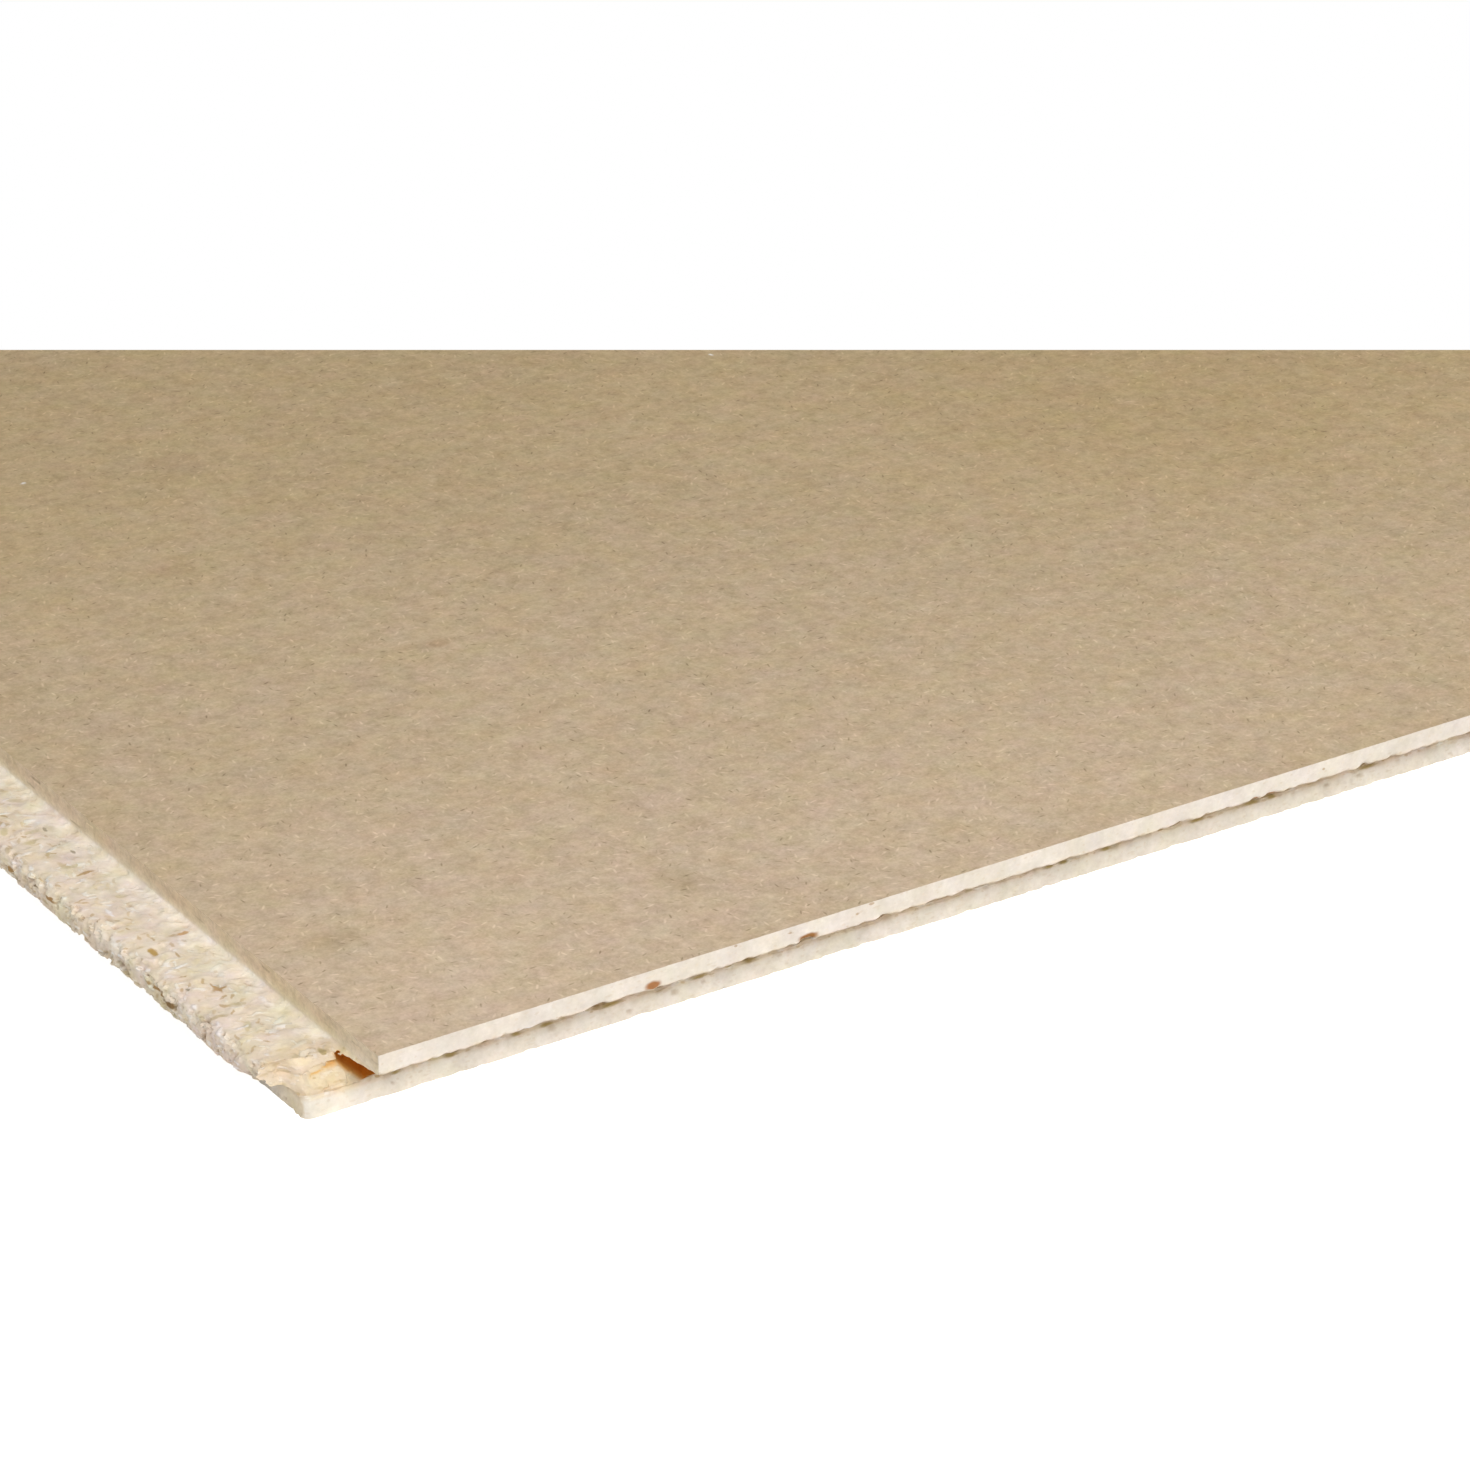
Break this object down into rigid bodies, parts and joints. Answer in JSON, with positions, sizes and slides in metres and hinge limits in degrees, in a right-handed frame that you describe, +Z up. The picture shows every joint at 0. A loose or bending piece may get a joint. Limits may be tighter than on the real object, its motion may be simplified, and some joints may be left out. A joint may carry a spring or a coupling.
{
  "type": "chipboard floor panel",
  "caption": "Flat tongue-and-groove chipboard floor panel with tongues along two meeting edges and grooves along the other two.",
  "frame": {"origin": "on the underside, at the middle of the panel's outline", "axes": "+X along the panel from its tongue end to its groove end, +Y across it from the grooved side to the tongued side, +Z up out of the face"},
  "size_m": [2.4234, 0.6234, 0.022],
  "materials": {
    "chipboard": "pressed and lightly sanded chipboard, matt, with paler milled edges"
  },
  "bodies": {
    "root": {"floor_panel": "chipboard"}
  },
  "joints": []
}
